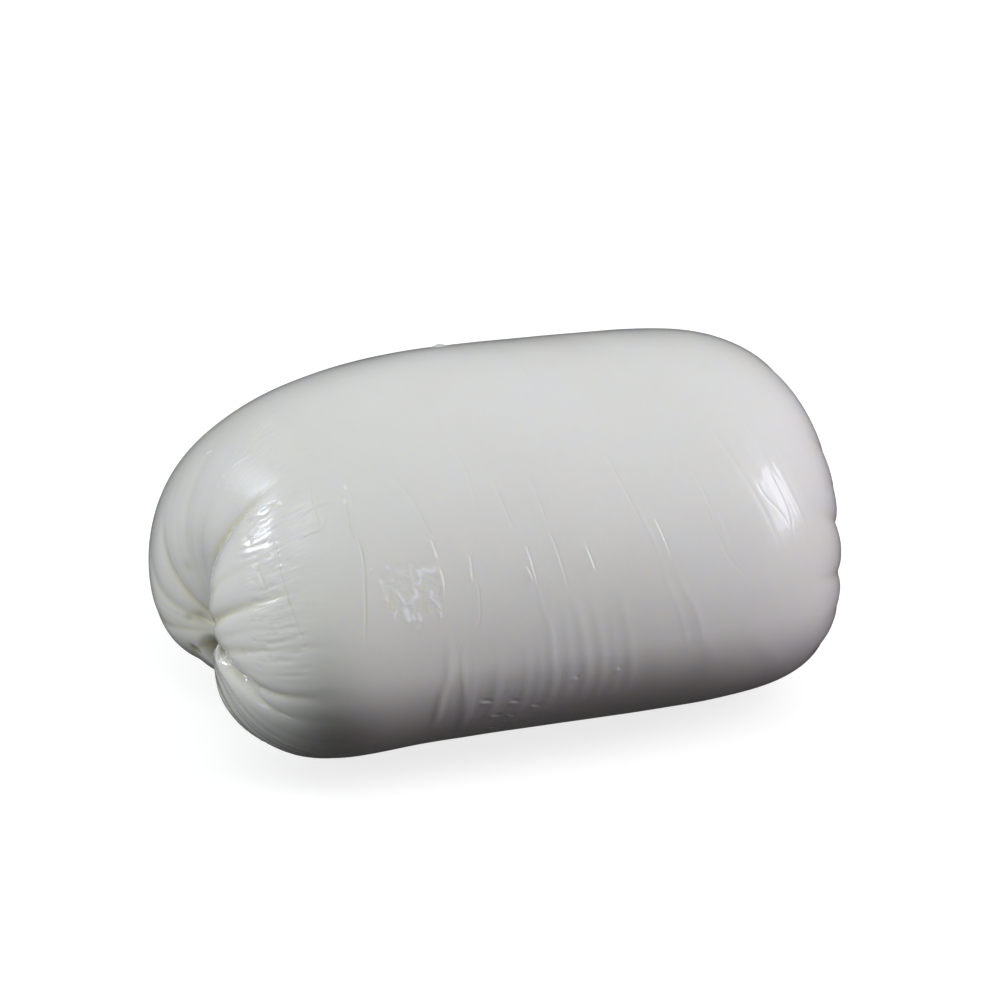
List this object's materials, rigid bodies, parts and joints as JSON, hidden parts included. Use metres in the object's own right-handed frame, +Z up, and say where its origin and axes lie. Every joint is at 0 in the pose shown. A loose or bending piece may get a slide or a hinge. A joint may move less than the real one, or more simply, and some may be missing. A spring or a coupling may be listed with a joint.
{
  "type": "fresh mozzarella log",
  "caption": "Hand-formed loaf of fresh mozzarella lying on its side, its skin pleated into a pinch at both ends, with a deep cleft at one.",
  "frame": {"origin": "on the table, under the middle of the loaf's length, on the flat spot it rests on", "axes": "+X along the loaf towards its right end, -Y towards the front, +Z up"},
  "size_m": [0.1175, 0.0833, 0.0636],
  "materials": {
    "fresh_cheese": "wet, milky white, faintly see-through, yellower in the creases"
  },
  "bodies": {
    "root": {"mozzarella_log": "fresh_cheese"}
  },
  "joints": []
}
